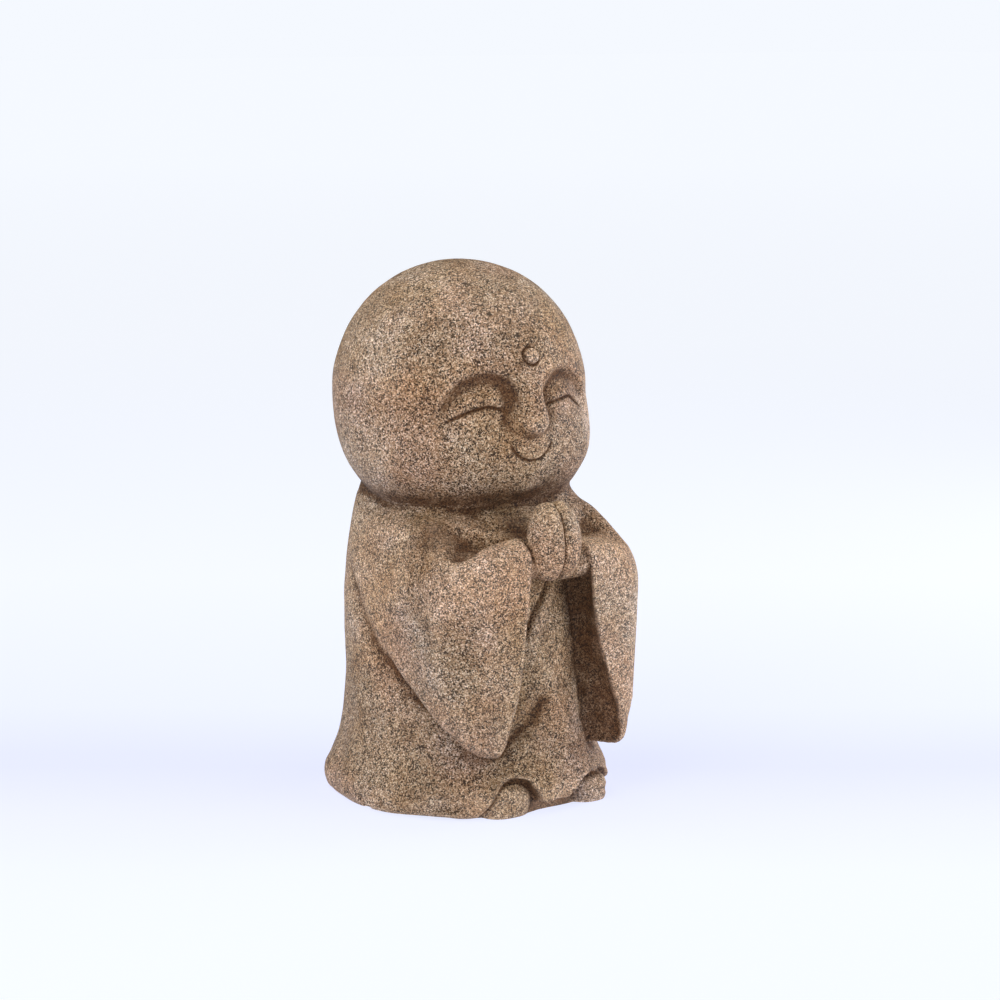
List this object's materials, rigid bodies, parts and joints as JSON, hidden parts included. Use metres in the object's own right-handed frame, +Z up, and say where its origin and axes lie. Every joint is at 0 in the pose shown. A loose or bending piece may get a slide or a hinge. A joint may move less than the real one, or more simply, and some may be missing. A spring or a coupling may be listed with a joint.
{
  "type": "stone jizo statue",
  "caption": "Small standing stone monk with a large round smiling head, palms pressed together and long hanging sleeves, one carved block with a flat underside.",
  "frame": {"origin": "middle of the outer box, on the flat underside the statue stands on", "axes": "+Z up from the underside to the crown, -Y the way the face looks, +X towards the statue's own left hand"},
  "size_m": [0.2134, 0.2282, 0.3981],
  "materials": {
    "granite": "brown speckled granite, matt and worn smooth, darker in the creases"
  },
  "bodies": {
    "root": {"jizo_statue": "granite"}
  },
  "joints": []
}
